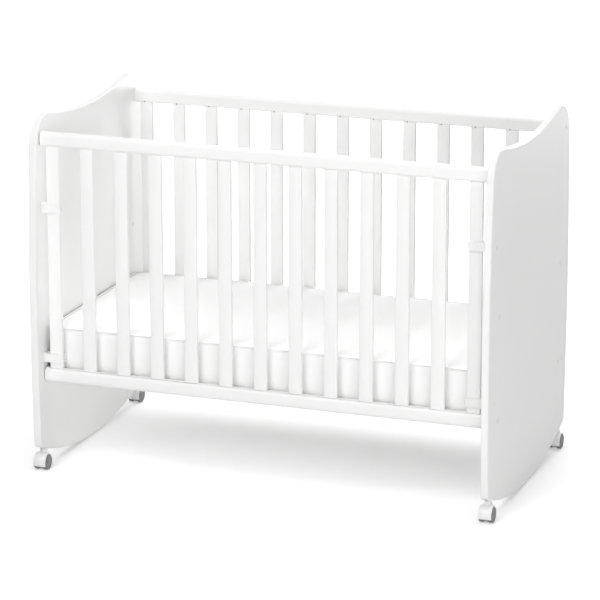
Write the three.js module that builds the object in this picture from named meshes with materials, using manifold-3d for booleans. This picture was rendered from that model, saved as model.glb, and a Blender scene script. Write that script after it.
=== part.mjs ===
// A child's crib for a 1200 x 600 mattress: two shaped end panels with rocker feet, a fixed rear side,
// a front side that slides down in four guides, a base, a mattress and four twin-wheel casters.
// Millimetres. +X runs along the crib, +Y to the rear, +Z up; the origin is on the floor, under the middle.

import * as THREE from "three";
import { mergeVertices } from "three/addons/utils/BufferGeometryUtils.js";
import Module from "manifold-3d";

const wasm = await Module();
wasm.setup();

// Fits
const TOUCH = 0.3; // between pieces that are fixed together
const RUN = 0.3; // round a pin that turns
const SLIDE = 0.8; // between a guide and the slat that slides in it

// Mattress
const MATTRESS_LENGTH = 1200;
const MATTRESS_WIDTH = 600;
const MATTRESS_THICKNESS = 120; // between its two seams
const MATTRESS_CORNER = 28;
const MATTRESS_TOP_CORNER = 4; // where the crown levels out
const MATTRESS_CROWN = 6;
const MATTRESS_CROWN_RUN = 130; // how far in from the edge the crown still rises
const MATTRESS_SEAM_INSET = 4; // the border is drawn in at the seams
const MATTRESS_PULL = 3; // the long sides pull in between the corners
const PIPING_RADIUS = 2.5;
const MATTRESS_END_GAP = 3;
const MATTRESS_SIDE_GAP = 1;

// Rails and slats of the two long sides
const RAIL_THICKNESS = 26;
const RAIL_HEIGHT = 38;
const RAIL_ROUND = 10;
const SLAT_WIDTH = 36;
const SLAT_THICKNESS = 13;
const SLAT_ROUND = 3;
const SLAT_COUNT = 13;
const END_SLAT_GAP = 15; // from a panel to the first slat
const MORTISE_DEPTH = 12;
const SIDE_HEIGHT = 670; // over both rails
const FRONT_SIDE_Z = 242; // underside of the raised front side
const REAR_SIDE_DROP = 8; // the fixed rear side sits this much lower
const FRONT_END_GAP = 2; // so that the front side slides between the panels
const SIDE_TRAVEL = 150;

// End panels
const PANEL_THICKNESS = 20;
const PANEL_OVERHANG = 39; // past the rails, where the panel is widest
const PANEL_WIDEST_Z = 426;
const PANEL_SIDE_RADIUS = 5400;
const PANEL_ABOVE_RAIL = 12; // lowest point of the saddle above the front top rail
const PANEL_SADDLE_RADIUS = 1280;
const PANEL_SHOULDER_RADIUS = 75;
const PANEL_ROCKER_Z = 3;
const PANEL_ROCKER_RADIUS = 1000;
const PANEL_FOOT_RADIUS = 12;
const PANEL_EDGE_ROUND = 2.5;

// Guides of the front side
const GUIDE_HEIGHT = 23;
const GUIDE_WALL = 4.2;
const GUIDE_REACH = 3; // past the end slat
const GUIDE_ROUND = 2;
const GUIDE_LIFT_GAP = 16; // from the raised bottom rail up to the lower guides
const GUIDE_STOP_GAP = 1; // from the upper guides up to the lowered top rail
const GUIDE_FINGER_HEIGHT = 9;
const GUIDE_FINGER_LENGTH = 34;
const GUIDE_SLIT = 1.2;
const GUIDE_PAD_LENGTH = 8;
const GUIDE_PILOT_RADIUS = 2;
const GUIDE_PILOT_DEPTH = 12;
const GUIDE_SCREW_RADIUS = 2.6; // hole in the panel

// Base under the mattress
const BASE_ABOVE_REAR_SIDE = 5.5; // underside of the base above that of the rear side
const NEWBORN_LIFT = 272.5; // up to the spare bolt holes, for a newborn
const BASE_RAIL_HEIGHT = 27;
const BASE_RAIL_THICKNESS = 24;
const BASE_SIDE_GAP = 3; // from the base to the inner faces of the side rails
const BASE_BOLT_RADIUS = 3.4;
const BASE_BOLT_INSET = 18; // from the end of the base's end rail
const BASE_PILOT_DEPTH = 20;
const BOARD_THICKNESS = 6;
const BOARD_LEDGE_WIDTH = 12; // of the rails' rebate, under the board
const BOARD_HOLE_RADIUS = 15;
const BOARD_HOLES_LONG = 5;
const BOARD_HOLES_WIDE = 3;

// Casters
const WHEEL_RADIUS = 21;
const WHEEL_WIDTH = 12;
const WHEEL_SHOULDER = 1.6;
const WHEEL_HUB_RADIUS = 7;
const WHEEL_RIM = 4;
const WHEEL_DISH = 2;
const WHEEL_SEGMENTS = 24;
const AXLE_RADIUS = 2.5;
const CASTER_TRAIL = 8; // wheel axle behind the swivel axis
const CASTER_INSET = 48; // swivel axis from the panel's widest line
const CASTER_SEAT_Z = 57; // flat seat cut in the rocker
const CASTER_SEAT_RADIUS = 10.5;
const STEM_RADIUS = 4;
const STEM_SLEEVE_RADIUS = 5.2;
const STEM_SLEEVE_LENGTH = 37;
const STEM_TIP = 4;
const STEM_COLLAR_RADIUS = 9;
const STEM_COLLAR_HEIGHT = 2;
const STEM_LENGTH = 26; // below the collar
const STEM_SEGMENTS = 16;
const HOUSING_CORE_WIDTH = 12; // between the wheels
const HOUSING_CORE_RADIUS = 17;
const HOOD_WALL = 1.8;
const HOOD_CLEARANCE = 1.2; // round the wheels
const HOOD_REAR_ANGLE = 55; // degrees above the level, behind
const HOOD_FRONT_ANGLE = 215;
const BOSS_RADIUS = 9.5;
const BOSS_DEPTH = 22;

// Places that follow from the sizes
const INSIDE_X = MATTRESS_LENGTH / 2 + MATTRESS_END_GAP;
const LAST_SLAT_X = INSIDE_X - END_SLAT_GAP - SLAT_WIDTH / 2;
const SLAT_PITCH = (2 * LAST_SLAT_X) / (SLAT_COUNT - 1);
const REAR_SIDE_Z = FRONT_SIDE_Z - REAR_SIDE_DROP;
const RAIL_INNER_Y = MATTRESS_WIDTH / 2 + MATTRESS_SIDE_GAP;
const SIDE_Y = RAIL_INNER_Y + RAIL_THICKNESS / 2;
const PANEL_HALF_WIDTH = RAIL_INNER_Y + RAIL_THICKNESS + PANEL_OVERHANG;
const PANEL_SADDLE_Z = FRONT_SIDE_Z + SIDE_HEIGHT + PANEL_ABOVE_RAIL;
const PANEL_X = INSIDE_X + PANEL_THICKNESS / 2;
const CASTER_Y = PANEL_HALF_WIDTH - CASTER_INSET;
const LOWER_GUIDE_Z = FRONT_SIDE_Z + RAIL_HEIGHT + GUIDE_LIFT_GAP;
const UPPER_GUIDE_Z = FRONT_SIDE_Z + SIDE_HEIGHT - RAIL_HEIGHT - SIDE_TRAVEL - GUIDE_STOP_GAP - GUIDE_HEIGHT;
const BASE_Z = REAR_SIDE_Z + BASE_ABOVE_REAR_SIDE;
const BASE_TOP = BASE_Z + BASE_RAIL_HEIGHT;
const MATTRESS_Z = BASE_TOP + TOUCH;

// Finishes
const lacquer = new THREE.MeshStandardMaterial({ color: 0xf4f4f2, roughness: 0.35, metalness: 0 });
const guidePlastic = new THREE.MeshStandardMaterial({ color: 0xf6f6f4, roughness: 0.3, metalness: 0 });
const hoodPlastic = new THREE.MeshStandardMaterial({ color: 0xeeeeec, roughness: 0.3, metalness: 0 });
const wheelPlastic = new THREE.MeshStandardMaterial({ color: 0x7c7d7f, roughness: 0.45, metalness: 0 });
const steel = new THREE.MeshStandardMaterial({ color: 0xb9bbbd, roughness: 0.35, metalness: 1 });
const ticking = new THREE.MeshStandardMaterial({ color: 0xf7f7f5, roughness: 0.9, metalness: 0 });

// Shape to solid and back
function solidOf(geometry) {
  const bare = geometry.clone();
  bare.deleteAttribute("normal");
  bare.deleteAttribute("uv");
  const merged = mergeVertices(bare, 1e-4);
  const vertProperties = new Float32Array(merged.attributes.position.array);
  const triVerts = new Uint32Array(merged.index.array);
  return new wasm.Manifold(new wasm.Mesh({ numProp: 3, vertProperties, triVerts }));
}

function geometryOf(solid) {
  const mesh = solid.getMesh();
  const geometry = new THREE.BufferGeometry();
  geometry.setAttribute("position", new THREE.BufferAttribute(mesh.vertProperties, 3));
  geometry.setIndex(new THREE.BufferAttribute(mesh.triVerts, 1));
  geometry.computeVertexNormals();
  return geometry;
}

// A box between two corners.
function box(low, high) {
  const geometry = new THREE.BoxGeometry(high[0] - low[0], high[1] - low[1], high[2] - low[2]);
  return geometry.translate((low[0] + high[0]) / 2, (low[1] + high[1]) / 2, (low[2] + high[2]) / 2);
}

// A cylinder along X, or along Z, between two ends; its flats lie at the given radius.
function cylinderX(radius, x0, x1, y, z, segments = 16) {
  const geometry = new THREE.CylinderGeometry(radius, radius, x1 - x0, segments);
  return geometry.rotateZ(-Math.PI / 2).translate((x0 + x1) / 2, y, z);
}

function cylinderZ(radius, z0, z1, x, y, segments = STEM_SEGMENTS) {
  const geometry = new THREE.CylinderGeometry(radius, radius, z1 - z0, segments);
  return geometry.rotateX(Math.PI / 2).translate(x, y, (z0 + z1) / 2);
}

// Points of an arc, from one angle to the other, both in radians.
function arc(centre, radius, from, to, steps) {
  const points = [];
  for (let i = 0; i <= steps; i += 1) {
    const angle = from + ((to - from) * i) / steps;
    points.push([centre[0] + radius * Math.cos(angle), centre[1] + radius * Math.sin(angle)]);
  }
  return points;
}

const QUARTER = Math.PI / 2;
const radians = (degrees) => (degrees * Math.PI) / 180;
const shapeOf = (points) => new THREE.Shape(points.map(([u, v]) => new THREE.Vector2(u, v)));

// A rectangle about the origin with round corners.
function roundedRectangle(width, height, radius, steps) {
  const w = width / 2 - radius;
  const h = height / 2 - radius;
  const corners = [[w, h], [-w, h], [-w, -h], [w, -h]];
  return shapeOf(corners.flatMap((corner, i) => arc(corner, radius, i * QUARTER, (i + 1) * QUARTER, steps)));
}

// A shape drawn across the crib, its first axis along Y and its second along Z, pushed out along X.
function pushedAlongX(shape, x0, x1, bevel = 0) {
  const geometry = new THREE.ExtrudeGeometry(shape, {
    depth: x1 - x0 - 2 * bevel,
    bevelEnabled: bevel > 0,
    bevelThickness: bevel,
    bevelSize: bevel,
    bevelOffset: -bevel,
    bevelSegments: 1,
  });
  const turn = new THREE.Matrix4().makeBasis(
    new THREE.Vector3(0, 1, 0),
    new THREE.Vector3(0, 0, 1),
    new THREE.Vector3(1, 0, 0),
  );
  return geometry.applyMatrix4(turn).translate(x0 + bevel, 0, 0);
}

// A shape drawn in plan, pushed up along Z.
function pushedUp(shape, z0, z1) {
  return new THREE.ExtrudeGeometry(shape, { depth: z1 - z0, bevelEnabled: false }).translate(0, 0, z0);
}

const crib = new THREE.Group();

function place(name, geometry, material, x = 0, y = 0, z = 0, turn = 0) {
  const mesh = new THREE.Mesh(geometry, material);
  mesh.name = name;
  mesh.position.set(x, y, z);
  mesh.rotation.z = turn;
  crib.add(mesh);
  return mesh;
}

// The point where two circles meet, on the side with the larger first coordinate.
function meet(a, ra, b, rb) {
  const distance = Math.hypot(b[0] - a[0], b[1] - a[1]);
  const along = (ra * ra - rb * rb + distance * distance) / (2 * distance);
  const across = Math.sqrt(ra * ra - along * along);
  const u = [(b[0] - a[0]) / distance, (b[1] - a[1]) / distance];
  const choices = [1, -1].map((s) => [
    a[0] + u[0] * along - s * u[1] * across,
    a[1] + u[1] * along + s * u[0] * across,
  ]);
  return choices[0][0] > choices[1][0] ? choices[0] : choices[1];
}

const heading = (from, to) => Math.atan2(to[1] - from[1], to[0] - from[0]);

// End panels: one outline of tangent arcs, rocker below, bowed edges, round shoulders and a saddle on top.
function panelOutline() {
  const rocker = [0, PANEL_ROCKER_Z + PANEL_ROCKER_RADIUS];
  const edge = [PANEL_HALF_WIDTH - PANEL_SIDE_RADIUS, PANEL_WIDEST_Z];
  const saddle = [0, PANEL_SADDLE_Z + PANEL_SADDLE_RADIUS];
  const foot = meet(
    rocker,
    PANEL_ROCKER_RADIUS - PANEL_FOOT_RADIUS,
    edge,
    PANEL_SIDE_RADIUS - PANEL_FOOT_RADIUS,
  );
  const shoulder = meet(
    saddle,
    PANEL_SADDLE_RADIUS + PANEL_SHOULDER_RADIUS,
    edge,
    PANEL_SIDE_RADIUS - PANEL_SHOULDER_RADIUS,
  );
  const half = [
    ...arc(rocker, PANEL_ROCKER_RADIUS, -QUARTER, heading(rocker, foot), 14),
    ...arc(foot, PANEL_FOOT_RADIUS, heading(rocker, foot), heading(edge, foot), 4).slice(1),
    ...arc(edge, PANEL_SIDE_RADIUS, heading(edge, foot), heading(edge, shoulder), 14).slice(1),
    ...arc(shoulder, PANEL_SHOULDER_RADIUS, heading(edge, shoulder), heading(shoulder, saddle), 9).slice(1),
    ...arc(saddle, PANEL_SADDLE_RADIUS, heading(saddle, shoulder), -QUARTER, 10).slice(1),
  ];
  const mirrored = half.slice(1, -1).reverse().map(([y, z]) => [-y, z]);
  return shapeOf([...half, ...mirrored]);
}

const GUIDE_PLACES = [
  ["lower", LOWER_GUIDE_Z],
  ["upper", UPPER_GUIDE_Z],
];
const BASE_HALF_WIDTH = RAIL_INNER_Y - BASE_SIDE_GAP;
const BASE_BOLT_Y = BASE_HALF_WIDTH - BASE_BOLT_INSET;
const SOCKET_RADIUS = (STEM_SLEEVE_RADIUS + TOUCH) / Math.cos(Math.PI / STEM_SEGMENTS);

function endPanel() {
  const half = PANEL_THICKNESS / 2;
  let panel = solidOf(pushedAlongX(panelOutline(), -half, half, PANEL_EDGE_ROUND));
  for (const [, z] of GUIDE_PLACES) {
    const hole = cylinderX(GUIDE_SCREW_RADIUS, -half - 1, half + 1, -SIDE_Y, z + GUIDE_HEIGHT / 2, 12);
    panel = panel.subtract(solidOf(hole));
  }
  for (const side of [-1, 1]) {
    for (const lift of [0, NEWBORN_LIFT]) {
      const z = BASE_Z + lift + BASE_RAIL_HEIGHT / 2;
      const hole = cylinderX(BASE_BOLT_RADIUS, -half - 1, half + 1, side * BASE_BOLT_Y, z, 12);
      panel = panel.subtract(solidOf(hole));
    }
    const y = side * CASTER_Y;
    panel = panel.subtract(solidOf(cylinderZ(CASTER_SEAT_RADIUS, 0, CASTER_SEAT_Z, 0, y)));
    const socketTop = CASTER_SEAT_Z + STEM_SLEEVE_LENGTH + TOUCH;
    panel = panel.subtract(solidOf(cylinderZ(SOCKET_RADIUS, CASTER_SEAT_Z - 1, socketTop, 0, y)));
  }
  return geometryOf(panel);
}

const panelGeometry = endPanel();
place("end_panel_left", panelGeometry, lacquer, -PANEL_X);
place("end_panel_right", panelGeometry, lacquer, PANEL_X);

// Long sides: two round-edged rails, mortised for thirteen flat slats.
const slatX = Array.from({ length: SLAT_COUNT }, (_, i) => i * SLAT_PITCH - LAST_SLAT_X);
const SLAT_LENGTH = SIDE_HEIGHT - 2 * (RAIL_HEIGHT - MORTISE_DEPTH) - 2 * TOUCH;

// A rail about its own middle, with the mortises in its upper face.
function rail(length) {
  const section = roundedRectangle(RAIL_THICKNESS, RAIL_HEIGHT, RAIL_ROUND, 4);
  const pocket = roundedRectangle(SLAT_WIDTH + 2 * TOUCH, SLAT_THICKNESS + 2 * TOUCH, SLAT_ROUND + TOUCH, 2);
  let body = solidOf(pushedAlongX(section, -length / 2, length / 2));
  const cutter = solidOf(pushedUp(pocket, RAIL_HEIGHT / 2 - MORTISE_DEPTH, RAIL_HEIGHT / 2 + 1));
  for (const x of slatX) {
    body = body.subtract(cutter.translate([x, 0, 0]));
  }
  return geometryOf(body);
}

const slatGeometry = pushedUp(roundedRectangle(SLAT_WIDTH, SLAT_THICKNESS, SLAT_ROUND, 2), 0, SLAT_LENGTH);

function longSide(name, y, z, endGap) {
  const geometry = rail(2 * (INSIDE_X - endGap));
  place(`${name}_bottom_rail`, geometry, lacquer, 0, y, z + RAIL_HEIGHT / 2);
  const top = place(`${name}_top_rail`, geometry, lacquer, 0, y, z + SIDE_HEIGHT - RAIL_HEIGHT / 2);
  top.rotation.x = Math.PI;
  slatX.forEach((x, i) => {
    const number = String(i + 1).padStart(2, "0");
    place(`${name}_slat_${number}`, slatGeometry, lacquer, x, y, z + RAIL_HEIGHT - MORTISE_DEPTH + TOUCH);
  });
}

longSide("front_side", -SIDE_Y, FRONT_SIDE_Z, FRONT_END_GAP);
longSide("rear_side", SIDE_Y, REAR_SIDE_Z, TOUCH);

// Guides: plastic forks screwed to the panels. The front arm is plain, and the rear one, on the side that
// is given, has a spring finger between two slits that presses on the end slat.
function guide(rear) {
  const inner = SLAT_THICKNESS / 2 + SLIDE;
  const outer = inner + GUIDE_WALL;
  const root = END_SLAT_GAP - SLIDE; // where the fork's slot begins
  const tip = END_SLAT_GAP + SLAT_WIDTH + GUIDE_REACH;
  const half = [
    [TOUCH, 0],
    [TOUCH, outer],
    ...arc([tip - GUIDE_ROUND, outer - GUIDE_ROUND], GUIDE_ROUND, QUARTER, 0, 4),
    ...arc([tip - GUIDE_ROUND, inner + GUIDE_ROUND], GUIDE_ROUND, 0, -QUARTER, 4),
    [root, inner],
  ];
  const mirrored = half.slice(1).reverse().map(([x, y]) => [x, -y]);
  let fork = solidOf(pushedUp(shapeOf([...half, ...mirrored]), 0, GUIDE_HEIGHT));
  const middle = GUIDE_HEIGHT / 2;
  for (const edge of [-1, 1]) {
    const z = middle + (edge * (GUIDE_FINGER_HEIGHT + GUIDE_SLIT)) / 2;
    const slit = box(
      [tip - GUIDE_FINGER_LENGTH, Math.min(0, rear * (outer + 1)), z - GUIDE_SLIT / 2],
      [tip + 1, Math.max(0, rear * (outer + 1)), z + GUIDE_SLIT / 2],
    );
    fork = fork.subtract(solidOf(slit));
  }
  const grip = rear * (inner - SLIDE + TOUCH); // where the finger's pad touches the slat
  const arm = rear * ((inner + outer) / 2);
  const padEnd = tip - GUIDE_REACH;
  const pad = box(
    [padEnd - GUIDE_PAD_LENGTH, Math.min(grip, arm), middle - GUIDE_FINGER_HEIGHT / 2],
    [padEnd, Math.max(grip, arm), middle + GUIDE_FINGER_HEIGHT / 2],
  );
  fork = fork.add(solidOf(pad));
  const pilot = cylinderX(GUIDE_PILOT_RADIUS, TOUCH - 1, TOUCH + GUIDE_PILOT_DEPTH, 0, middle, 12);
  return geometryOf(fork.subtract(solidOf(pilot)));
}

for (const [end, x, rear, turn] of [["left", -INSIDE_X, 1, 0], ["right", INSIDE_X, -1, Math.PI]]) {
  const geometry = guide(rear);
  for (const [level, z] of GUIDE_PLACES) {
    place(`guide_${level}_${end}`, geometry, guidePlastic, x, -SIDE_Y, z, turn);
  }
}

// Base: four rebated rails, bolted to the panels through their ends, and a vented board in the rebate.
const BASE_HALF_LENGTH = INSIDE_X - TOUCH;
const BOARD_X = BASE_HALF_LENGTH - BASE_RAIL_THICKNESS + BOARD_LEDGE_WIDTH;
const BOARD_Y = BASE_HALF_WIDTH - BASE_RAIL_THICKNESS + BOARD_LEDGE_WIDTH;
const rebate = solidOf(
  box(
    [-BOARD_X - TOUCH, -BOARD_Y - TOUCH, BASE_TOP - BOARD_THICKNESS - TOUCH],
    [BOARD_X + TOUCH, BOARD_Y + TOUCH, BASE_TOP + 1],
  ),
);

for (const [name, side] of [["left", -1], ["right", 1]]) {
  const outer = side * BASE_HALF_LENGTH;
  const inner = side * (BASE_HALF_LENGTH - BASE_RAIL_THICKNESS);
  let body = solidOf(
    box(
      [Math.min(outer, inner), -BASE_HALF_WIDTH, BASE_Z],
      [Math.max(outer, inner), BASE_HALF_WIDTH, BASE_TOP],
    ),
  ).subtract(rebate);
  for (const end of [-1, 1]) {
    const from = Math.min(side * (BASE_HALF_LENGTH + 1), side * (BASE_HALF_LENGTH - BASE_PILOT_DEPTH));
    const to = Math.max(side * (BASE_HALF_LENGTH + 1), side * (BASE_HALF_LENGTH - BASE_PILOT_DEPTH));
    const hole = cylinderX(BASE_BOLT_RADIUS, from, to, end * BASE_BOLT_Y, BASE_Z + BASE_RAIL_HEIGHT / 2, 12);
    body = body.subtract(solidOf(hole));
  }
  place(`base_rail_${name}`, geometryOf(body), lacquer);
}

for (const [name, side] of [["front", -1], ["rear", 1]]) {
  const outer = side * BASE_HALF_WIDTH;
  const inner = side * (BASE_HALF_WIDTH - BASE_RAIL_THICKNESS);
  const end = BASE_HALF_LENGTH - BASE_RAIL_THICKNESS - TOUCH;
  const body = solidOf(box([-end, Math.min(outer, inner), BASE_Z], [end, Math.max(outer, inner), BASE_TOP]));
  place(`base_rail_${name}`, geometryOf(body.subtract(rebate)), lacquer);
}

function baseBoard() {
  const board = shapeOf([[-BOARD_X, -BOARD_Y], [BOARD_X, -BOARD_Y], [BOARD_X, BOARD_Y], [-BOARD_X, BOARD_Y]]);
  for (let i = 0; i < BOARD_HOLES_LONG; i += 1) {
    for (let j = 0; j < BOARD_HOLES_WIDE; j += 1) {
      const x = ((2 * (i + 0.5)) / BOARD_HOLES_LONG - 1) * BOARD_X;
      const y = ((2 * (j + 0.5)) / BOARD_HOLES_WIDE - 1) * BOARD_Y;
      const ring = arc([x, y], BOARD_HOLE_RADIUS, 4 * QUARTER, 0, 12).slice(1);
      board.holes.push(new THREE.Path(ring.map(([u, v]) => new THREE.Vector2(u, v))));
    }
  }
  return pushedUp(board, BASE_TOP - BOARD_THICKNESS, BASE_TOP);
}

place("base_board", baseBoard(), lacquer);

// Mattress: rings stacked from the bottom to the crown, with piping round both seams.
function mattressRing(inset, z) {
  const a = MATTRESS_LENGTH / 2 - inset;
  const b = MATTRESS_WIDTH / 2 - inset;
  const r = Math.max(MATTRESS_CORNER - inset, MATTRESS_TOP_CORNER);
  const corners = [[a - r, b - r], [-a + r, b - r], [-a + r, -b + r], [a - r, -b + r]];
  const outline = corners.flatMap((corner, i) => {
    const round = arc(corner, r, i * QUARTER, (i + 1) * QUARTER, 4);
    const last = round[round.length - 1];
    const [first] = arc(corners[(i + 1) % 4], r, (i + 1) * QUARTER, (i + 1) * QUARTER, 1);
    const steps = i % 2 === 0 ? 9 : 5;
    const straight = Array.from({ length: steps - 1 }, (_, k) => [
      last[0] + ((first[0] - last[0]) * (k + 1)) / steps,
      last[1] + ((first[1] - last[1]) * (k + 1)) / steps,
    ]);
    return [...round, ...straight];
  });
  return outline.map(([x, y]) => {
    const pull = MATTRESS_PULL * (1 - (x / a) ** 2) * (y / b) ** 2;
    return [x, y - Math.sign(y) * pull, z];
  });
}

function mattress() {
  const low = MATTRESS_Z;
  const high = MATTRESS_Z + MATTRESS_THICKNESS;
  const rings = [mattressRing(MATTRESS_CORNER / 2, low)];
  for (const seam of [low + PIPING_RADIUS, high - PIPING_RADIUS]) {
    for (const angle of [-60, 0, 60].map(radians)) {
      const inset = MATTRESS_SEAM_INSET - PIPING_RADIUS * Math.cos(angle);
      rings.push(mattressRing(inset, seam + PIPING_RADIUS * Math.sin(angle)));
    }
    if (seam < high - PIPING_RADIUS) {
      const border = MATTRESS_THICKNESS - 4 * PIPING_RADIUS;
      for (const share of [0.04, 0.2, 0.5, 0.8, 0.96]) {
        const inset = MATTRESS_SEAM_INSET * (1 - Math.sin(Math.PI * share));
        rings.push(mattressRing(inset, low + 2 * PIPING_RADIUS + border * share));
      }
    }
  }
  for (const share of [0.04, 0.15, 0.4, 0.7, 1]) {
    const rise = MATTRESS_CROWN * Math.sin(QUARTER * share);
    rings.push(mattressRing(MATTRESS_SEAM_INSET + MATTRESS_CROWN_RUN * share, high + rise));
  }
  const count = rings[0].length;
  const positions = rings.flat(2);
  const bottomCentre = rings.length * count;
  positions.push(0, 0, low, 0, 0, high + MATTRESS_CROWN);
  const triangles = [];
  for (let k = 0; k < count; k += 1) {
    const next = (k + 1) % count;
    for (let ring = 0; ring < rings.length - 1; ring += 1) {
      const here = ring * count;
      const above = here + count;
      triangles.push(here + k, here + next, above + next, here + k, above + next, above + k);
    }
    const top = (rings.length - 1) * count;
    triangles.push(bottomCentre, next, k, bottomCentre + 1, top + k, top + next);
  }
  const geometry = new THREE.BufferGeometry();
  geometry.setAttribute("position", new THREE.Float32BufferAttribute(positions, 3));
  geometry.setIndex(triangles);
  geometry.computeVertexNormals();
  return geometry;
}

place("mattress", mattress(), ticking);

// Casters: a stem pressed in the rocker, a hooded housing that swivels on it, and two wheels on its axle.
const HOUSING_TOP = CASTER_SEAT_Z - TOUCH - STEM_COLLAR_HEIGHT - RUN;
const WHEEL_GAP = 0.5; // between a wheel and the housing's core
const WHEEL_X = HOUSING_CORE_WIDTH / 2 + WHEEL_GAP;
const HOOD_INNER = WHEEL_RADIUS / Math.cos(Math.PI / WHEEL_SEGMENTS) + HOOD_CLEARANCE;
const HOOD_RADIUS = HOOD_INNER + HOOD_WALL;
const HOOD_HALF_WIDTH = WHEEL_X + WHEEL_WIDTH - WHEEL_DISH / 2;

function stem() {
  const top = CASTER_SEAT_Z + STEM_SLEEVE_LENGTH;
  const collarTop = CASTER_SEAT_Z - TOUCH;
  const collar = collarTop - STEM_COLLAR_HEIGHT;
  const profile = [
    [0, collar - STEM_LENGTH],
    [STEM_RADIUS, collar - STEM_LENGTH],
    [STEM_RADIUS, collar],
    [STEM_COLLAR_RADIUS, collar],
    [STEM_COLLAR_RADIUS, collarTop],
    [STEM_SLEEVE_RADIUS, collarTop],
    [STEM_SLEEVE_RADIUS, top - STEM_TIP],
    [STEM_RADIUS, top],
    [0, top],
  ].map(([r, z]) => new THREE.Vector2(r, z));
  return new THREE.LatheGeometry(profile, STEM_SEGMENTS).rotateX(Math.PI / 2);
}

function housing() {
  const centre = [-CASTER_TRAIL, WHEEL_RADIUS];
  const hood = arc(centre, HOOD_RADIUS, radians(HOOD_REAR_ANGLE), radians(HOOD_FRONT_ANGLE), 14);
  const core = HOUSING_CORE_WIDTH / 2;
  const stemBore = (STEM_RADIUS + RUN) / Math.cos(Math.PI / STEM_SEGMENTS);
  const stemFoot = CASTER_SEAT_Z - TOUCH - STEM_COLLAR_HEIGHT - STEM_LENGTH;
  let body = solidOf(pushedAlongX(shapeOf([centre, ...hood]), -HOOD_HALF_WIDTH, HOOD_HALF_WIDTH));
  body = body.add(solidOf(cylinderX(HOUSING_CORE_RADIUS, -core, core, centre[0], centre[1], WHEEL_SEGMENTS)));
  body = body.add(solidOf(cylinderZ(BOSS_RADIUS, HOUSING_TOP - BOSS_DEPTH, HOUSING_TOP, 0, 0)));
  for (const side of [-1, 1]) {
    const from = Math.min(side * core, side * (HOOD_HALF_WIDTH + 1));
    const to = Math.max(side * core, side * (HOOD_HALF_WIDTH + 1));
    const wheelRoom = cylinderX(HOOD_INNER, from, to, centre[0], centre[1], WHEEL_SEGMENTS);
    body = body.subtract(solidOf(wheelRoom));
  }
  const axleEnd = WHEEL_X + WHEEL_WIDTH - WHEEL_DISH - TOUCH;
  body = body.add(solidOf(cylinderX(AXLE_RADIUS, -axleEnd, axleEnd, centre[0], centre[1], 12)));
  return geometryOf(body.subtract(solidOf(cylinderZ(stemBore, stemFoot - RUN, HOUSING_TOP + 1, 0, 0))));
}

// A wheel about X, its inner face at x = 0: a rim, a dished outer face with a round cap, and a bore.
function wheel() {
  const scale = 1 / Math.cos(Math.PI / WHEEL_SEGMENTS); // so that the flats of the tread lie at the radius
  const bore = (AXLE_RADIUS + RUN) * scale;
  const tread = WHEEL_RADIUS * scale;
  const profile = [
    [bore, 0],
    [tread, 0],
    [tread, WHEEL_WIDTH - WHEEL_SHOULDER],
    [tread - WHEEL_SHOULDER, WHEEL_WIDTH],
    [tread - WHEEL_RIM, WHEEL_WIDTH],
    [tread - WHEEL_RIM - WHEEL_DISH, WHEEL_WIDTH - WHEEL_DISH],
    [WHEEL_HUB_RADIUS, WHEEL_WIDTH - WHEEL_DISH],
    [bore, WHEEL_WIDTH - WHEEL_DISH / 2],
    [bore, 0],
  ].map(([r, x]) => new THREE.Vector2(r, x));
  const turned = new THREE.LatheGeometry(profile, WHEEL_SEGMENTS, Math.PI / WHEEL_SEGMENTS);
  return turned.rotateZ(-Math.PI / 2);
}

const stemGeometry = stem();
const housingGeometry = housing();
const wheelGeometry = wheel();
for (const [row, sideY] of [["front", -1], ["rear", 1]]) {
  for (const [end, sideX] of [["left", -1], ["right", 1]]) {
    const name = `caster_${row}_${end}`;
    const x = sideX * PANEL_X;
    const y = sideY * CASTER_Y;
    place(`${name}_stem`, stemGeometry, steel, x, y);
    place(`${name}_housing`, housingGeometry, hoodPlastic, x, y);
    const axleY = y - CASTER_TRAIL;
    place(`${name}_wheel_left`, wheelGeometry, wheelPlastic, x - WHEEL_X, axleY, WHEEL_RADIUS, Math.PI);
    place(`${name}_wheel_right`, wheelGeometry, wheelPlastic, x + WHEEL_X, axleY, WHEEL_RADIUS);
  }
}

export default crib;
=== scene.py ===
import math

import bpy
import numpy as np
from mathutils import Matrix, Vector


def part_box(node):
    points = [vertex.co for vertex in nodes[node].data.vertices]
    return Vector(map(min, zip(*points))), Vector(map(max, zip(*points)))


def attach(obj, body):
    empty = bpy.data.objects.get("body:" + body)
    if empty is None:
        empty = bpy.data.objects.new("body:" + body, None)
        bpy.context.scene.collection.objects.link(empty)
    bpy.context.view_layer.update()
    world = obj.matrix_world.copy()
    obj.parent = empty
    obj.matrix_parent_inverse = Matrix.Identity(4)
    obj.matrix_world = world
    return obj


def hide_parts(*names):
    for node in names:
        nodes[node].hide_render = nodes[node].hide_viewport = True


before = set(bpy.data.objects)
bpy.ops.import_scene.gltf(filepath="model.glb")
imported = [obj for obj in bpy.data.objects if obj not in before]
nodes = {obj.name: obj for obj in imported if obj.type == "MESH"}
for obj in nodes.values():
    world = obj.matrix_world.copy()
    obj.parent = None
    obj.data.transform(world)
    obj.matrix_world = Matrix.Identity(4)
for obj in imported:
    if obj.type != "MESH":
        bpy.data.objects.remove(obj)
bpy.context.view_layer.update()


# --- End panels ---------------------------------------------------------------------------------------
# Two 20 mm boards sawn to the same outline, their arrises taken off with a router, sanded and sprayed
# with white lacquer. Every other piece is screwed, bolted or pinned between them.

LACQUER_WHITE = (0.955, 0.955, 0.952, 1)
LACQUER_SHADE = (0.940, 0.940, 0.936, 1)
PANEL_EDGE = 0.0008
PANEL_INNER_X = 0.603
PANEL_OUTER_X = 0.623


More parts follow.
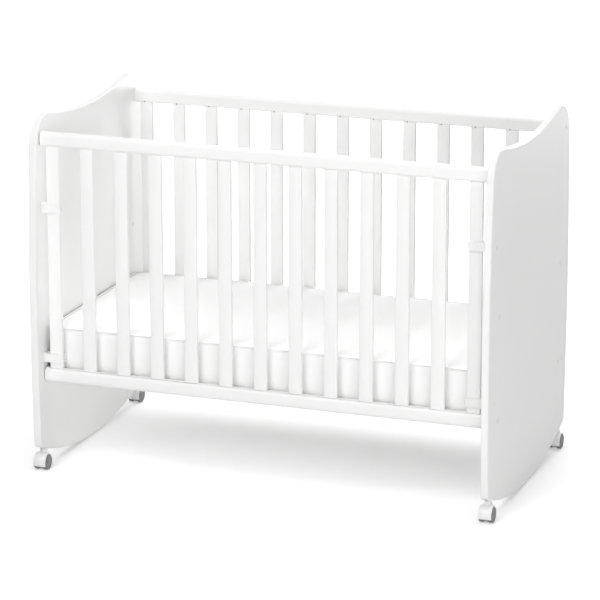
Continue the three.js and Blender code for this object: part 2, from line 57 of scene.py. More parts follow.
def material_named(name, **numbers):
    """A new material with its plain numbers set on the shader; returns it, its tree and the shader."""
    material = bpy.data.materials.new(name)
    material.use_nodes = True
    shader = material.node_tree.nodes["Principled BSDF"]
    for socket, value in numbers.items():
        shader.inputs[socket.replace("_", " ")].default_value = value
    return material, material.node_tree, shader


def node(tree, kind, inputs, **settings):
    """Adds a shader node; each input is a plain value or another node's output."""
    added = tree.nodes.new("ShaderNode" + kind)
    for name, value in settings.items():
        setattr(added, name, value)
    for socket, value in inputs.items():
        if isinstance(value, bpy.types.NodeSocket):
            tree.links.new(value, added.inputs[socket])
        else:
            added.inputs[socket].default_value = value
    return added


def object_place(tree, scale=(1, 1, 1)):
    """The point on the piece in metres, stretched by scale."""
    place = node(tree, "TexCoord", {}).outputs["Object"]
    return node(tree, "Mapping", {"Vector": place, "Scale": scale}).outputs["Vector"]


def cloudy(tree, place, scale, detail=2.0, roughness=0.5):
    """Soft random patches; scale is patches per metre."""
    inputs = {"Vector": place, "Scale": scale, "Detail": detail, "Roughness": roughness}
    return node(tree, "TexNoise", inputs).outputs["Fac"]


def between(tree, value, low, high, start=0.35, end=0.65):
    """Maps a pattern onto a range of numbers."""
    inputs = {"Value": value, "From Min": start, "From Max": end, "To Min": low, "To Max": high}
    return node(tree, "MapRange", inputs).outputs["Result"]


def blended(tree, factor, first, second):
    """Mixes two colours by a pattern."""
    mix = node(tree, "Mix", {0: factor}, data_type="RGBA")
    for socket, value in ((6, first), (7, second)):
        if isinstance(value, bpy.types.NodeSocket):
            tree.links.new(value, mix.inputs[socket])
        else:
            mix.inputs[socket].default_value = value
    return mix.outputs[2]


def relief(tree, height, depth, strength, under=None):
    """Bump from a pattern; depth is its full height in metres."""
    inputs = {"Height": height, "Distance": depth, "Strength": strength}
    if under is not None:
        inputs["Normal"] = under
    return node(tree, "Bump", inputs).outputs["Normal"]


def board_lacquer():
    """Sprayed lacquer on smooth board: faint orange peel, and a duller film on the routed edges."""
    material, tree, shader = material_named("board_lacquer", Specular_IOR_Level=0.45)
    place = object_place(tree)
    tone = between(tree, cloudy(tree, place, 3.5, 3), 0, 1)
    tree.links.new(blended(tree, tone, LACQUER_WHITE, LACQUER_SHADE), shader.inputs["Base Color"])
    facing = node(tree, "NewGeometry", {}).outputs["True Normal"]
    facing = node(tree, "SeparateXYZ", {0: facing}).outputs["X"]
    on_edge = node(tree, "Math", {0: facing}, operation="ABSOLUTE").outputs[0]
    on_edge = between(tree, on_edge, 0.10, 0.0, 0.3, 0.9)
    patches = between(tree, cloudy(tree, place, 45, 4), 0.30, 0.40)
    rough = node(tree, "Math", {0: patches, 1: on_edge}, operation="ADD").outputs[0]
    tree.links.new(rough, shader.inputs["Roughness"])
    peel = relief(tree, cloudy(tree, place, 620, 2), 0.00005, 0.6)
    sanding = object_place(tree, (60, 900, 900))
    flow = relief(tree, cloudy(tree, sanding, 1, 2), 0.00003, 0.5, peel)
    tree.links.new(flow, shader.inputs["Normal"])
    return material


def finish_node(name, material, edge):
    """Gives a CAD node its finish, and breaks its sharp edges by a hair as sanding does."""
    piece = nodes[name]
    mesh = piece.data
    mesh.materials.clear()
    mesh.materials.append(material)
    mesh.polygons.foreach_set("material_index", [0] * len(mesh.polygons))
    mesh.polygons.foreach_set("use_smooth", [True] * len(mesh.polygons))
    for layer in ("custom_normal", "sharp_edge", "sharp_face"):
        if layer in mesh.attributes:
            mesh.attributes.remove(mesh.attributes[layer])
    weld = piece.modifiers.new("joined corners", "WELD")
    weld.merge_threshold = 0.00001
    flat = piece.modifiers.new("whole faces", "DECIMATE")
    flat.decimate_type = "DISSOLVE"
    flat.angle_limit = math.radians(0.4)
    round_off = piece.modifiers.new("broken edges", "BEVEL")
    round_off.limit_method = "ANGLE"
    round_off.angle_limit = math.radians(30)
    round_off.width = edge
    round_off.segments = 2
    round_off.harden_normals = True
    return piece


panel_finish = board_lacquer()
for side in ("left", "right"):
    finish_node(f"end_panel_{side}", panel_finish, PANEL_EDGE)


# --- Rear side ----------------------------------------------------------------------------------------
# Thirteen flat beech slats with their ends in mortises in two round-edged rails. A small dark steel dome
# sits on the rail's rounded inner edge at each slat. The side is lacquered white and screwed between the
# panels.

SLATS = 13
SLAT_PITCH = 0.095
RAIL_INNER_Y = 0.301
RAIL_ROUND = 0.010
RAIL_EDGE = 0.0006
SLAT_EDGE = 0.0004
BEECH_GRAIN = (0.915, 0.913, 0.905, 1)
PIN_RADIUS = 0.0023
PIN_OFFSET = -0.004
PIN_LEAN = math.radians(50)
PIN_DOME = 0.0006


def wood_lacquer(name, grain):
    """White lacquer over beech: the grain still shows as faint lines along the piece."""
    material, tree, shader = material_named(name, Specular_IOR_Level=0.45)
    place = object_place(tree)
    lines = object_place(tree, tuple(5 if axis == grain else 260 for axis in "xyz"))
    figure = cloudy(tree, lines, 1, 4, 0.6)
    tone = between(tree, cloudy(tree, place, 5, 3), 0, 0.8)
    film = blended(tree, tone, LACQUER_WHITE, LACQUER_SHADE)
    grained = blended(tree, between(tree, figure, 0, 0.35, 0.45, 0.75), film, BEECH_GRAIN)
    tree.links.new(grained, shader.inputs["Base Color"])
    rough = between(tree, cloudy(tree, place, 70, 4), 0.29, 0.40)
    tree.links.new(rough, shader.inputs["Roughness"])
    peel = relief(tree, cloudy(tree, place, 700, 2), 0.00004, 0.5)
    tree.links.new(relief(tree, figure, 0.00010, 0.5, peel), shader.inputs["Normal"])
    return material


def bright_steel(name, colour, shade, roughness):
    """Plain steel with fine rubbing marks."""
    material, tree, shader = material_named(name, Metallic=1.0)
    place = object_place(tree)
    tone = between(tree, cloudy(tree, place, 260, 4), 0, 1)
    tree.links.new(blended(tree, tone, colour, shade), shader.inputs["Base Color"])
    rough = between(tree, cloudy(tree, place, 500, 3), roughness - 0.08, roughness + 0.10)
    tree.links.new(rough, shader.inputs["Roughness"])
    marks = cloudy(tree, object_place(tree, (900, 900, 120)), 1, 3)
    tree.links.new(relief(tree, marks, 0.00002, 0.6), shader.inputs["Normal"])
    return material


def mesh_piece(name, points, faces, material, smooth=True):
    """A new mesh object from points and faces."""
    mesh = bpy.data.meshes.new(name)
    mesh.from_pydata([tuple(point) for point in points], [], faces)
    mesh.validate()
    mesh.materials.append(material)
    mesh.polygons.foreach_set("use_smooth", [smooth] * len(mesh.polygons))
    piece = bpy.data.objects.new(name, mesh)
    bpy.context.scene.collection.objects.link(piece)
    return piece


def turned(profile, steps):
    """Points and faces of a closed turning about Z, from (radius, height) pairs, bottom to top."""
    points, faces, rings = [], [], []
    for radius, height in profile:
        if radius < 1e-9:
            rings.append([len(points)])
            points.append(Vector((0, 0, height)))
            continue
        rings.append(range(len(points), len(points) + steps))
        for i in range(steps):
            angle = 2 * math.pi * i / steps
            points.append(Vector((radius * math.cos(angle), radius * math.sin(angle), height)))
    for low, high in zip(rings, rings[1:]):
        for i in range(steps):
            j = (i + 1) % steps
            corners = [low[i % len(low)], low[j % len(low)], high[j % len(high)], high[i % len(high)]]
            faces.append(list(dict.fromkeys(corners)))
    return points, faces


def set_in_rows(name, shape, places, material):
    """One mesh with the same shape at each place; a place is a matrix."""
    points, faces = [], []
    for place in places:
        start = len(points)
        points += [place @ point for point in shape[0]]
        faces += [[start + i for i in face] for face in shape[1]]
    return mesh_piece(name, points, faces, material)


def aimed(place, direction):
    """Moves a shape that stands on Z to a place, with its top towards direction."""
    turn = Vector(direction).to_track_quat("Z", "Y").to_matrix().to_4x4()
    return Matrix.Translation(place) @ turn


rail_finish = wood_lacquer("rail_lacquer", "x")
slat_finish = wood_lacquer("slat_lacquer", "z")
pin_steel = bright_steel("pin_steel", (0.34, 0.34, 0.345, 1), (0.24, 0.24, 0.245, 1), 0.45)
PIN_HEAD = turned([(PIN_RADIUS, -0.001), (PIN_RADIUS, PIN_DOME * 0.3), (PIN_RADIUS * 0.8, PIN_DOME * 0.8),
                   (PIN_RADIUS * 0.4, PIN_DOME), (0, PIN_DOME)], 16)


def finish_side(side, inner_y, body):
    """Lacquers one long side, and sets a small dark steel dome on its rails at each slat."""
    for rail in ("top", "bottom"):
        finish_node(f"{side}_side_{rail}_rail", rail_finish, RAIL_EDGE)
    for i in range(SLATS):
        finish_node(f"{side}_side_slat_{i + 1:02d}", slat_finish, SLAT_EDGE)
    inward = -1 if inner_y > 0 else 1
    places = []
    for rail in ("top", "bottom"):
        low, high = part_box(f"{side}_side_{rail}_rail")
        edge, up = (low.z, 1) if rail == "top" else (high.z, -1)
        y = inner_y - inward * RAIL_ROUND * (1 - math.cos(PIN_LEAN))
        z = edge + up * RAIL_ROUND * (1 - math.sin(PIN_LEAN))
        out = (0, inward * math.cos(PIN_LEAN), -up * math.sin(PIN_LEAN))
        for i in range(SLATS):
            x = (i - (SLATS - 1) / 2) * SLAT_PITCH + PIN_OFFSET
            places.append(aimed((x, y, z), out))
    pins = set_in_rows(f"{side}_side_pins", PIN_HEAD, places, pin_steel)
    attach(pins, body)


finish_side("rear", RAIL_INNER_Y, "crib")


# --- Front side ---------------------------------------------------------------------------------------
# The same side again, 2 mm shorter at each end so that it can slide down between the panels. Its end
# slats run in the guides.

finish_side("front", -RAIL_INNER_Y, "front_side")


# --- Guides -------------------------------------------------------------------------------------------
# Four forks of white moulded plastic, screwed to the panels' inner faces from outside. A spring finger
# in the rear arm presses on the end slat and holds the side up.

GUIDE_EDGE = 0.0005


def moulded_plastic(name, colour, shade, roughness):
    """Moulded plastic: a fine even texture from the mould, with soft flow marks."""
    material, tree, shader = material_named(name, Specular_IOR_Level=0.5)
    place = object_place(tree)
    tone = between(tree, cloudy(tree, place, 35, 3), 0, 1)
    tree.links.new(blended(tree, tone, colour, shade), shader.inputs["Base Color"])
    rough = between(tree, cloudy(tree, place, 140, 4), roughness - 0.04, roughness + 0.07)
    tree.links.new(rough, shader.inputs["Roughness"])
    fine = relief(tree, cloudy(tree, place, 900, 3), 0.00004, 0.6)
    tree.links.new(fine, shader.inputs["Normal"])
    return material


guide_plastic = moulded_plastic("guide_plastic", (0.94, 0.94, 0.937, 1), (0.92, 0.92, 0.917, 1), 0.33)
for end in ("left", "right"):
    for level in ("lower", "upper"):
        finish_node(f"guide_{level}_{end}", guide_plastic, GUIDE_EDGE)


# --- Screw caps ---------------------------------------------------------------------------------------
# The screws of the guides and of the rear side, and the bolts of the base, come through the panels from
# outside. Each is covered with a thin white cap, and so are the spare holes of the raised base.

CAP_RADIUS = 0.0062
CAP_HEIGHT = 0.0011
GUIDE_SCREWS = [(-0.314, 0.3075), (-0.314, 0.7115)]
BASE_BOLTS = [(-0.280, 0.253), (0.280, 0.253)]
SPARE_HOLES = [(-0.280, 0.5255), (0.280, 0.5255)]
REAR_SIDE_SCREWS = [(0.314, 0.253), (0.314, 0.885)]

cap_plastic = moulded_plastic("cap_plastic", (0.86, 0.86, 0.855, 1), (0.84, 0.84, 0.835, 1), 0.38)
CAP = turned([(0, -0.0006), (CAP_RADIUS, -0.0006), (CAP_RADIUS, CAP_HEIGHT * 0.35),
              (CAP_RADIUS * 0.93, CAP_HEIGHT * 0.72), (CAP_RADIUS * 0.75, CAP_HEIGHT * 0.93),
              (CAP_RADIUS * 0.4, CAP_HEIGHT), (0, CAP_HEIGHT)], 28)
for end, out in (("left", -1), ("right", 1)):
    places = [aimed((out * PANEL_OUTER_X, y, z), (out, 0, 0))
              for y, z in GUIDE_SCREWS + BASE_BOLTS + SPARE_HOLES + REAR_SIDE_SCREWS]
    places += [aimed((out * PANEL_INNER_X, y, z), (-out, 0, 0)) for y, z in SPARE_HOLES]
    caps = set_in_rows(f"screw_caps_{end}", CAP, places, cap_plastic)
    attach(caps, "crib")


# --- Base ---------------------------------------------------------------------------------------------
# Four rebated rails, the end ones bolted to the panels, with a thin painted board on their ledges. The
# board has air holes under the mattress.

BOARD_EDGE = 0.0003

for rail, grain in (("left", "y"), ("right", "y"), ("front", "x"), ("rear", "x")):
    finish_node(f"base_rail_{rail}", wood_lacquer(f"base_rail_{rail}_lacquer", grain), RAIL_EDGE)
finish_node("base_board", board_lacquer(), BOARD_EDGE)


# --- Mattress -----------------------------------------------------------------------------------------
# A foam block in a sewn cover of white woven ticking. The top, the border and the bottom are joined
# with a piped seam all round, and the foam crowns the top a little between the seams.

MATTRESS_HALF = np.array((0.600, 0.300))
MATTRESS_LOW, MATTRESS_HIGH = 0.2668, 0.3868
MATTRESS_CORNER = 0.028
CORNER_STEPS = 6
SEAM_INSET = 0.0028
SEAM_BAND = 0.011
SIDE_PULL = 0.003
END_PULL = 0.4
PIPING_RADIUS = 0.0025
CROWN = 0.006
CROWN_RUN = 0.130
SWELL, LEAST_SWELL = 0.003, 0.0004
COVER_MARGIN = 0.0015
COVER_TUCK = 0.0005
BORDER_BULGE = 0.001
COVER_VOXEL = 0.0075
FACE_BAND = 0.006
SIM_STEPS = 20
STITCH_PITCH = 0.0062
STITCH_LENGTH = 0.0036
STITCH_RADIUS = 0.00032
STITCH_OUT = 0.0008
STITCH_STEP = 0.002
STITCH_FROM_PIPING = 0.0052


def ticking(name, colour, shade, pitch):
    """Woven cotton ticking: over-and-under threads, slubs and a soft bloom."""
    material, tree, shader = material_named(name, Sheen_Weight=0.25, Sheen_Roughness=0.5,
                                            Specular_IOR_Level=0.25)
    place = object_place(tree)
    turn = 2 * math.pi / pitch
    apart = node(tree, "SeparateXYZ", {0: place})
    threads = None
    for axis in "XYZ":
        angle = node(tree, "Math", {0: apart.outputs[axis], 1: turn}, operation="MULTIPLY").outputs[0]
        wave = node(tree, "Math", {0: angle}, operation="SINE").outputs[0]
        threads = wave if threads is None else node(tree, "Math", {0: threads, 1: wave}).outputs[0]
    weave = between(tree, threads, 0, 1, -2, 2)
    slubs = cloudy(tree, object_place(tree, (90, 320, 320)), 1, 4)
    tone = between(tree, cloudy(tree, place, 7, 4), 0, 0.7)
    cloth = blended(tree, tone, colour, shade)
    cloth = blended(tree, between(tree, slubs, 0, 0.4, 0.5, 0.8), cloth, shade)
    tree.links.new(cloth, shader.inputs["Base Color"])
    tree.links.new(between(tree, slubs, 0.82, 0.95), shader.inputs["Roughness"])
    woven = relief(tree, weave, 0.00018, 0.5)
    tree.links.new(relief(tree, slubs, 0.00025, 0.5, woven), shader.inputs["Normal"])
    return material


def outline(inset, pitch=0.012):
    """Points round the mattress, drawn in by inset; the sides also pull in between the corners."""
    a, b = (float(half) - inset for half in MATTRESS_HALF)
    r = max(MATTRESS_CORNER - inset, 0.004)
    points = []
    centres = ((a - r, b - r), (r - a, b - r), (r - a, r - b), (a - r, r - b))
    for quarter, (cx, cy) in enumerate(centres):
        for i in range(CORNER_STEPS + 1):
            angle = (quarter + i / CORNER_STEPS) * math.pi / 2
            points.append((cx + r * math.cos(angle), cy + r * math.sin(angle)))
        run, most = (2 * (a - r), SIDE_PULL) if quarter % 2 == 0 else (2 * (b - r), SIDE_PULL * END_PULL)
        count = round(run / pitch)
        x0, y0 = points[-1]
        nx, ny = centres[(quarter + 1) % 4]
        turn = (quarter + 1) * math.pi / 2
        x1, y1 = nx + r * math.cos(turn), ny + r * math.sin(turn)
        for i in range(1, count):
            t = i / count
            pull = most * math.sin(math.pi * t) ** 0.5
            points.append((x0 + (x1 - x0) * t - pull * math.cos(turn),
                           y0 + (y1 - y0) * t - pull * math.sin(turn)))
    return points


def stacked(rings):
    """Closed mesh from rings of (x, y, z) points with a flat lid at both ends."""
    count = len(rings[0])
    points = [point for ring in rings for point in ring]
    faces = [list(range(count))[::-1]]
    for low in range(0, (len(rings) - 1) * count, count):
        for i in range(count):
            j = (i + 1) % count
            faces.append([low + i, low + j, low + count + j, low + count + i])
    faces.append([(len(rings) - 1) * count + i for i in range(count)])
    return points, faces


def crowned(x, y):
    """How far the foam lifts the top here."""
    edge = min(MATTRESS_HALF[0] - abs(x), MATTRESS_HALF[1] - abs(y))
    return CROWN * math.sin(math.pi / 2 * min(max(edge, 0) / CROWN_RUN, 1))


def sewn_cover(material):
    """The cover, swollen over its foam by a short cloth simulation while its seams are held."""
    rings = []
    for share in (0, 0.12, 0.3, 0.5, 0.7, 0.88, 1):
        inset = SEAM_INSET + COVER_TUCK - BORDER_BULGE * math.sin(math.pi * share)
        z = MATTRESS_LOW + COVER_MARGIN + (MATTRESS_HIGH - MATTRESS_LOW - 2 * COVER_MARGIN) * share
        rings.append([(x, y, z) for x, y in outline(inset)])
    cover = mesh_piece("mattress_cover", *stacked(rings), material)
    remesh = cover.modifiers.new("even", "REMESH")
    remesh.mode = "VOXEL"
    remesh.voxel_size = COVER_VOXEL
    bpy.context.view_layer.update()
    even = bpy.data.meshes.new_from_object(cover.evaluated_get(bpy.context.evaluated_depsgraph_get()))
    cover.modifiers.clear()
    cover.data = even
    start = np.empty(len(even.vertices) * 3)
    even.vertices.foreach_get("co", start)
    start = start.reshape(-1, 3)
    top = start[:, 2] > MATTRESS_HIGH - FACE_BAND
    rim = (MATTRESS_HALF - np.abs(start[:, :2])).min(axis=1) < SEAM_BAND
    bottom = start[:, 2] < MATTRESS_LOW + FACE_BAND
    held = cover.vertex_groups.new(name="seams")
    held.add([int(i) for i in np.where((top & rim) | bottom)[0]], 1.0, "REPLACE")
    cloth = cover.modifiers.new("cloth", "CLOTH")
    cloth.settings.quality = 4
    cloth.settings.mass = 0.25
    cloth.settings.air_damping = 2
    cloth.settings.tension_stiffness = 18
    cloth.settings.compression_stiffness = 18
    cloth.settings.shear_stiffness = 6
    cloth.settings.bending_stiffness = 0.6
    cloth.settings.vertex_group_mass = "seams"
    cloth.settings.shrink_min = -0.012
    cloth.settings.use_pressure = True
    cloth.settings.uniform_pressure_force = 4
    cloth.settings.effector_weights.gravity = 0
    cloth.collision_settings.use_collision = False
    for step in range(SIM_STEPS):
        bpy.context.scene.frame_set(step + 1)
    swollen = bpy.data.meshes.new_from_object(cover.evaluated_get(bpy.context.evaluated_depsgraph_get()))
    cover.modifiers.clear()
    cover.data = swollen
    bpy.context.scene.frame_set(1)
    moved = np.empty_like(start).reshape(-1)
    swollen.vertices.foreach_get("co", moved)
    way = moved.reshape(-1, 3) - start
    reach = np.linalg.norm(way, axis=1, keepdims=True) + 1e-9
    most = np.full(len(start), SWELL)
    most[top] = [max(crowned(x, y), LEAST_SWELL) for x, y in start[top, :2]]
    way *= np.tanh(reach / most[:, None]) * most[:, None] / reach
    swollen.vertices.foreach_set("co", (start + way).reshape(-1))
    cover.data.materials.clear()
    cover.data.materials.append(material)
    cover.data.polygons.foreach_set("use_smooth", [True] * len(cover.data.polygons))
    smooth = cover.modifiers.new("smooth", "SUBSURF")
    smooth.levels = smooth.render_levels = 1
    return cover


def swept(line, radius, sides):
    """A round cord along a closed line of points: its points and faces."""
    points, faces = [], []
    count = len(line)
    for i, here in enumerate(line):
        along = (Vector(line[(i + 1) % count]) - Vector(line[i - 1])).normalized()
        across = along.cross(Vector((0, 0, 1))).normalized()
        up = across.cross(along)
        for j in range(sides):
            angle = 2 * math.pi * j / sides
            points.append(Vector(here) + radius * (math.cos(angle) * across + math.sin(angle) * up))
    for i in range(count):
        for j in range(sides):
            k, n = (i + 1) % count, (j + 1) % sides
            faces.append([i * sides + j, i * sides + n, k * sides + n, k * sides + j])
    return points, faces


def spaced(row, pitch):
    """Places at an even pitch along a closed row of points, each aimed along the row."""
    ahead = row[1:] + row[:1]
    lengths = [(after - here).length for here, after in zip(row, ahead)]
    whole, along = sum(lengths), np.cumsum([0] + lengths)
    count = round(whole / pitch)
    places = []
    for step in range(count):
        distance = whole * step / count
        i = int(np.searchsorted(along, distance, side="right")) - 1
        here = row[i].lerp(ahead[i], (distance - along[i]) / lengths[i])
        places.append(aimed(here, ahead[i] - row[i]))
    return places


cover_cloth = ticking("mattress_ticking", (0.985, 0.985, 0.983, 1), (0.970, 0.970, 0.967, 1), 0.0014)
piping_cloth = ticking("piping_ticking", (0.970, 0.970, 0.967, 1), (0.945, 0.945, 0.941, 1), 0.0009)
thread = ticking("seam_thread", (0.92, 0.92, 0.915, 1), (0.86, 0.86, 0.855, 1), 0.0006)
cover = sewn_cover(cover_cloth)
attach(cover, "crib")
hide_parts("mattress")

half = STITCH_LENGTH / 2
stitch = turned([(0, -half), (STITCH_RADIUS, -half * 0.6), (STITCH_RADIUS, half * 0.6), (0, half)], 6)
for place, z, border in (("top", MATTRESS_HIGH - PIPING_RADIUS, -1),
                         ("bottom", MATTRESS_LOW + PIPING_RADIUS, 1)):
    line = [(x, y, z) for x, y in outline(SEAM_INSET)]
    piping = mesh_piece(f"mattress_piping_{place}", *swept(line, PIPING_RADIUS, 12), piping_cloth)
    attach(piping, "crib")
    row = [Vector((x, y, z + border * STITCH_FROM_PIPING))
           for x, y in outline(SEAM_INSET - STITCH_OUT, STITCH_STEP)]
    seam = set_in_rows(f"mattress_stitches_{place}", stitch, spaced(row, STITCH_PITCH), thread)
    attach(seam, "crib")


# --- Casters ------------------------------------------------------------------------------------------
# Four twin-wheel casters: a zinc-plated stem with a white collar, pressed into the panel, a white moulded
# housing with a hood round the front and top of the wheels, and two grey wheels on its stub axle.

CASTER_X, CASTER_Y = 0.613, 0.318
TRAIL = 0.008
WHEEL_RADIUS = 0.021
WHEEL_INNER, WHEEL_OUTER = 0.0065, 0.0185
WHEEL_STEPS = 56
DISC_RADIUS = 0.0175
HOOD_INNER, HOOD_OUTER = 0.0224, 0.0242
HOOD_HALF_WIDTH = 0.0175
HOOD_FROM, HOOD_TO = 55, 200
CORE_HALF_WIDTH = 0.006
CORE_RADIUS = 0.0188
BOSS_RADIUS = 0.0095
BOSS_TOP = 0.0544
STEM_EDGE = 0.0003
COLLAR_FROM = 0.005
FLOOR_DUST = (0.34, 0.335, 0.325, 1)

# Painted shade: the housing's core between the two wheels is coloured dark grey to stand for the shade in
# the gap between them.
core_painted_shade = moulded_plastic("core_painted_shade", (0.42, 0.42, 0.42, 1), (0.38, 0.38, 0.38, 1), 0.45)
stem_zinc = bright_steel("stem_zinc", (0.62, 0.62, 0.63, 1), (0.50, 0.50, 0.52, 1), 0.34)
hood_plastic = moulded_plastic("hood_plastic", (0.95, 0.95, 0.947, 1), (0.935, 0.935, 0.931, 1), 0.28)


def wheel_plastic(name, colour, shade, roughness):
    """Grey wheel plastic, dusty and scuffed where it rolls."""
    material, tree, shader = material_named(name, Specular_IOR_Level=0.4)
    place = object_place(tree)
    scuff = cloudy(tree, place, 420, 5, 0.65)
    tone = blended(tree, between(tree, cloudy(tree, place, 60, 3), 0, 1), colour, shade)
    worn = blended(tree, between(tree, scuff, 0, 0.35, 0.5, 0.75), tone, FLOOR_DUST)
    tree.links.new(worn, shader.inputs["Base Color"])
    tree.links.new(between(tree, scuff, roughness - 0.06, roughness + 0.14), shader.inputs["Roughness"])
    tree.links.new(relief(tree, scuff, 0.00005, 0.7), shader.inputs["Normal"])
    return material


tyre_plastic = wheel_plastic("tyre_plastic", (0.270, 0.272, 0.276, 1), (0.230, 0.232, 0.236, 1), 0.55)
disc_plastic = wheel_plastic("disc_plastic", (0.300, 0.302, 0.307, 1), (0.265, 0.267, 0.272, 1), 0.42)


def round_wheel(name, centre, out):
    """One wheel: crowned tyre, a dished face with a raised ring, and a domed hub cap."""
    mid = (WHEEL_INNER + WHEEL_OUTER) / 2
    h = (WHEEL_OUTER - WHEEL_INNER) / 2
    r = WHEEL_RADIUS
    profile = [(0.0030, -h), (r - 0.0035, -h), (r - 0.0014, -h + 0.0003), (r - 0.0004, -h + 0.0011),
               (r, -h + 0.0026), (r, -0.0007), (r - 0.0005, -0.0003), (r - 0.0005, 0.0003), (r, 0.0007),
               (r, h - 0.0026), (r - 0.0004, h - 0.0011), (r - 0.0014, h - 0.0003), (r - 0.0024, h),
               (r - 0.0032, h), (r - 0.0037, h - 0.0006), (r - 0.0042, h - 0.0018), (r - 0.0048, h - 0.0020),
               (0.0140, h - 0.0020), (0.0134, h - 0.0015), (0.0124, h - 0.0015), (0.0118, h - 0.0020),
               (0.0080, h - 0.0020), (0.0075, h - 0.0016), (0.0072, h - 0.0004), (0.0065, h - 0.0001),
               (0.0040, h), (0.0, h)]
    points, faces = turned(profile, WHEEL_STEPS)
    faces.append(list(range(WHEEL_STEPS))[::-1])
    place = aimed((centre[0] + out * mid, centre[1], centre[2]), (out, 0, 0))
    wheel = mesh_piece(name, [place @ point for point in points], faces, tyre_plastic)
    wheel.data.materials.append(disc_plastic)
    for face in wheel.data.polygons:
        reach = (Vector((0, centre[1], centre[2])) - Vector((0, face.center.y, face.center.z))).length
        outward = (face.center.x - centre[0]) * out
        face.material_index = int(reach < DISC_RADIUS and outward > mid)
    crease(wheel, 28)
    return wheel


def crease(piece, angle):
    """Keeps edges sharper than angle, in degrees, crisp."""
    split = piece.modifiers.new("crisp", "EDGE_SPLIT")
    split.split_angle = math.radians(angle)


def fan(profile, start, end, steps, centre):
    """Sweeps a closed (x, radius) profile round the wheel axle from start to end degrees."""
    points, faces = [], []
    size = len(profile)
    for i in range(steps + 1):
        angle = math.radians(start + (end - start) * i / steps)
        for x, radius in profile:
            points.append(Vector((centre[0] + x, centre[1] + radius * math.cos(angle),
                                  centre[2] + radius * math.sin(angle))))
    for i in range(steps):
        for j in range(size):
            k = (j + 1) % size
            faces.append([i * size + j, i * size + k, (i + 1) * size + k, (i + 1) * size + j])
    faces.append(list(range(size))[::-1])
    faces.append([steps * size + j for j in range(size)])
    return points, faces


def housing(name, x, y):
    """The moulded housing: hood, web and core, and the boss that turns on the stem. The core between the
    wheels is coloured dark grey as painted shade for the gap.
    """
    centre = (x, y - TRAIL, WHEEL_RADIUS)
    w, a, b = HOOD_HALF_WIDTH, HOOD_INNER, HOOD_OUTER
    shell = [(-w, a), (-w, b - 0.0014), (-w + 0.0005, b - 0.0005), (-w + 0.0016, b), (0, b + 0.0001),
             (w - 0.0016, b), (w - 0.0005, b - 0.0005), (w, b - 0.0014), (w, a), (w - 0.0012, a - 0.0001),
             (0, a - 0.0001), (-w + 0.0012, a - 0.0001)]
    c = CORE_HALF_WIDTH
    web = [(-c, 0.002), (-c, a + 0.0004), (c, a + 0.0004), (c, 0.002)]
    core = [(-c, 0.0001), (-c, CORE_RADIUS - 0.0006), (-c + 0.0006, CORE_RADIUS), (c - 0.0006, CORE_RADIUS),
            (c, CORE_RADIUS - 0.0006), (c, 0.0001)]
    r, top = BOSS_RADIUS, BOSS_TOP
    boss = turned([(0, top - 0.020), (r + 0.0030, top - 0.020), (r + 0.0030, top - 0.0105),
                   (r + 0.0020, top - 0.0090), (r + 0.0008, top - 0.0070), (r, top - 0.0045),
                   (r, top - 0.0010), (r - 0.0003, top - 0.0003), (r - 0.0011, top), (0, top)], 40)
    boss = ([Vector((x, y, 0)) + point for point in boss[0]], boss[1])
    parts = [fan(shell, HOOD_FROM, HOOD_TO, 48, centre), fan(web, HOOD_FROM + 1, HOOD_TO - 1, 40, centre),
             fan(core, 0, 359.9, 56, centre), boss]
    points, faces, painted_shade_faces = [], [], []
    for part in parts:
        start = len(points)
        points += part[0]
        faces += [[start + i for i in face] for face in part[1]]
        painted_shade_faces += [int(part is parts[2])] * len(part[1])
    piece = mesh_piece(name, points, faces, hood_plastic)
    # the core's faces take the dark grey painted shade
    piece.data.materials.append(core_painted_shade)
    piece.data.polygons.foreach_set("material_index", painted_shade_faces)
    crease(piece, 34)
    return piece


for end, y in (("front", -CASTER_Y), ("rear", CASTER_Y)):
    for side, x in (("left", -CASTER_X), ("right", CASTER_X)):
        name = f"caster_{end}_{side}"
        stem = finish_node(f"{name}_stem", stem_zinc, STEM_EDGE)
        stem.data.materials.append(hood_plastic)
        for face in stem.data.polygons:
            place = stem.matrix_world @ face.center
            face.material_index = int(math.hypot(place.x - x, place.y - y) > COLLAR_FROM)
        body = housing(f"{name}_hood", x, y)
        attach(body, name)
        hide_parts(f"{name}_housing")
        for hand, out in (("left", -1), ("right", 1)):
            wheel = round_wheel(f"{name}_tyre_{hand}", (x, y - TRAIL, WHEEL_RADIUS), out)
            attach(wheel, f"wheel_{end}_{side}_{hand}")
            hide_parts(f"{name}_wheel_{hand}")


# --- Studio -------------------------------------------------------------------------------------------
# A white paper floor, which glows a little away from the crib, and five softboxes: two high ones before
# and behind, which leave the base's shadow as a band, and low ones at the front, the right and the rear
# that reach under the rails.

SKY = 0.035
PAPER = 0.90
PAPER_SEEN = 1.0
PAPER_GLOW = 0.20
FAR_GLOW = 0.80
FAR_FROM, FAR_TO = 0.16, 1.3
SHADOW_SHAPE = (0.35, 1, 1)
LAMP_AIM = Vector((0, 0, 0.3))


def seen_directly(tree):
    """1 for what the camera sees, also in a reflection or through something; otherwise 0."""
    path = node(tree, "LightPath", {})
    first = node(tree, "Math", {0: path.outputs["Is Camera Ray"], 1: path.outputs["Is Glossy Ray"]},
                 operation="MAXIMUM").outputs[0]
    return node(tree, "Math", {0: first, 1: path.outputs["Is Transmission Ray"]},
                operation="MAXIMUM").outputs[0]


world = bpy.data.worlds.new("sky")
bpy.context.scene.world = world
world.use_nodes = True
sky = world.node_tree
sky.nodes["Background"].inputs["Color"].default_value = (1, 1, 1, 1)
strength = between(sky, seen_directly(sky), SKY, 1.0, 0, 1)
sky.links.new(strength, sky.nodes["Background"].inputs["Strength"])

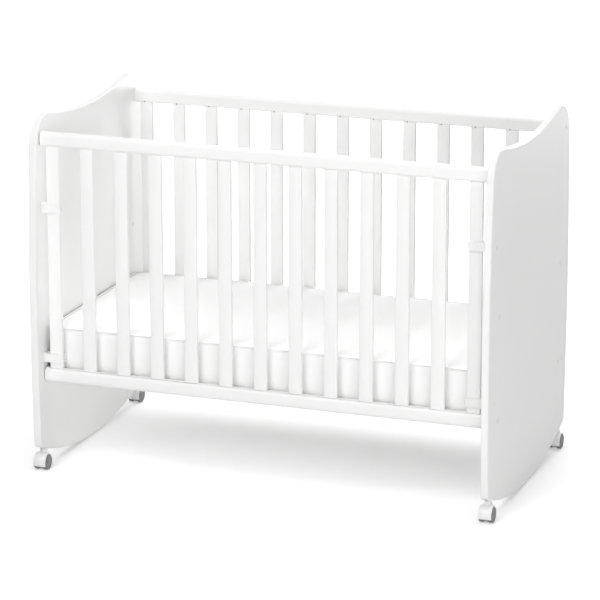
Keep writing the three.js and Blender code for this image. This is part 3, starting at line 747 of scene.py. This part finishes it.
paper = bpy.data.materials.new("paper")
paper.use_nodes = True
tree = paper.node_tree
tree.nodes.clear()
seen = seen_directly(tree)
sheet = node(tree, "BsdfDiffuse", {"Color": between(tree, seen, PAPER, PAPER_SEEN, 0, 1)})
far = node(tree, "VectorMath", {0: object_place(tree, SHADOW_SHAPE)}, operation="LENGTH").outputs["Value"]
far = between(tree, far, 0, FAR_GLOW, FAR_FROM, FAR_TO)
far = node(tree, "Math", {0: far, 1: node(tree, "LightPath", {}).outputs["Is Camera Ray"]},
           operation="MULTIPLY").outputs[0]
glow = node(tree, "Math", {0: between(tree, seen, 0, PAPER_GLOW, 0, 1), 1: far}, operation="ADD").outputs[0]
glow = node(tree, "Emission", {"Color": (1, 1, 1, 1), "Strength": glow})
both = node(tree, "AddShader", {0: sheet.outputs[0], 1: glow.outputs[0]})
node(tree, "OutputMaterial", {"Surface": both.outputs[0]})
floor = mesh_piece("paper_floor", [(-14, -12, 0), (14, -12, 0), (14, 16, 0), (-14, 16, 0)], [[0, 1, 2, 3]],
                   paper, smooth=False)

for name, place, size, watts in (("softbox_front", (-1.0, -3.9, 4.0), 3.0, 146),
                                 ("softbox_above", (0.3, 1.5, 4.6), 3.0, 114),
                                 ("softbox_right", (5.2, -3.6, 1.1), 2.2, 68),
                                 ("softbox_low_front", (3.4, -5.6, 0.9), 2.2, 75),
                                 ("softbox_low_rear", (0.7, 5.2, 1.0), 2.4, 138)):
    lamp = bpy.data.objects.new(name, bpy.data.lights.new(name, "AREA"))
    bpy.context.scene.collection.objects.link(lamp)
    lamp.data.shape = "SQUARE"
    lamp.data.size = size
    lamp.data.energy = watts
    lamp.location = place
    lamp.rotation_euler = (LAMP_AIM - lamp.location).to_track_quat("-Z", "Y").to_euler()

camera = bpy.data.objects.new("camera", bpy.data.cameras.new("camera"))
bpy.context.scene.collection.objects.link(camera)
camera.location = (2.771396, -7.606162, 2.683219)
camera.rotation_euler = (math.radians(90 - 15.511), 0, math.radians(20.071))
camera.data.sensor_width = 36
camera.data.lens = 190.997
camera.data.clip_end = 60
bpy.context.scene.camera = camera
bpy.context.scene.view_settings.view_transform = "Standard"
